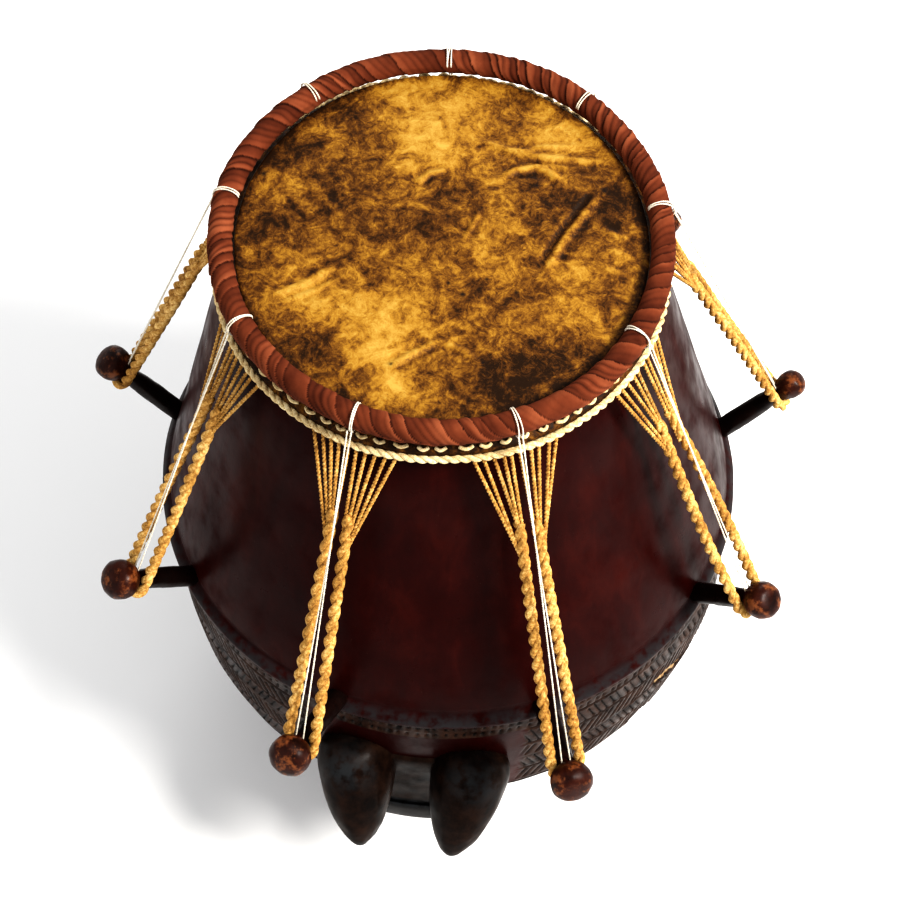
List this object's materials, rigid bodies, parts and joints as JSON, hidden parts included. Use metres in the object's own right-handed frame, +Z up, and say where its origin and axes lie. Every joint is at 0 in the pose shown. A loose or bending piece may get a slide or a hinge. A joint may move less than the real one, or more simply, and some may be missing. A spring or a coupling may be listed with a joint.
{
  "type": "ceremonial ritual drum",
  "caption": "Carved wooden peg drum with a rawhide head, cloth-wrapped hoop, twisted tension cords on pegs, a notched band and two carved breasts on its front.",
  "frame": {"origin": "on the surface that the drum stands on, under the middle of its bounding box", "axes": "+Z up through the head, -Y toward the front with the two breasts, +X to the drum's left seen from itself"},
  "size_m": [0.5314, 0.5514, 0.5923],
  "materials": {
    "shell_wood": "glossy dark red-brown lacquer",
    "peg_wood": "polished, worn at the knobs",
    "rawhide": "dry mottled rawhide",
    "hoop_cloth": "wrapped cotton strip",
    "cord_jute": "twisted jute",
    "cord_cream": "twisted cotton cord",
    "white_string": "thin cotton string"
  },
  "bodies": {
    "root": {"drum_shell": "shell_wood", "drum_head": "rawhide", "hoop": "hoop_cloth", "edge_cord": "cord_cream", "peg_1": "peg_wood", "tension_cord_1": "cord_jute", "lashing_1": "white_string", "peg_2": "peg_wood", "tension_cord_2": "cord_jute", "lashing_2": "white_string", "peg_3": "peg_wood", "tension_cord_3": "cord_jute", "lashing_3": "white_string", "peg_4": "peg_wood", "tension_cord_4": "cord_jute", "lashing_4": "white_string", "peg_5": "peg_wood", "tension_cord_5": "cord_jute", "lashing_5": "white_string", "peg_6": "peg_wood", "tension_cord_6": "cord_jute", "lashing_6": "white_string", "peg_7": "peg_wood", "tension_cord_7": "cord_jute", "lashing_7": "white_string", "peg_8": "peg_wood", "tension_cord_8": "cord_jute", "lashing_8": "white_string", "peg_9": "peg_wood", "tension_cord_9": "cord_jute", "lashing_9": "white_string"}
  },
  "joints": []
}
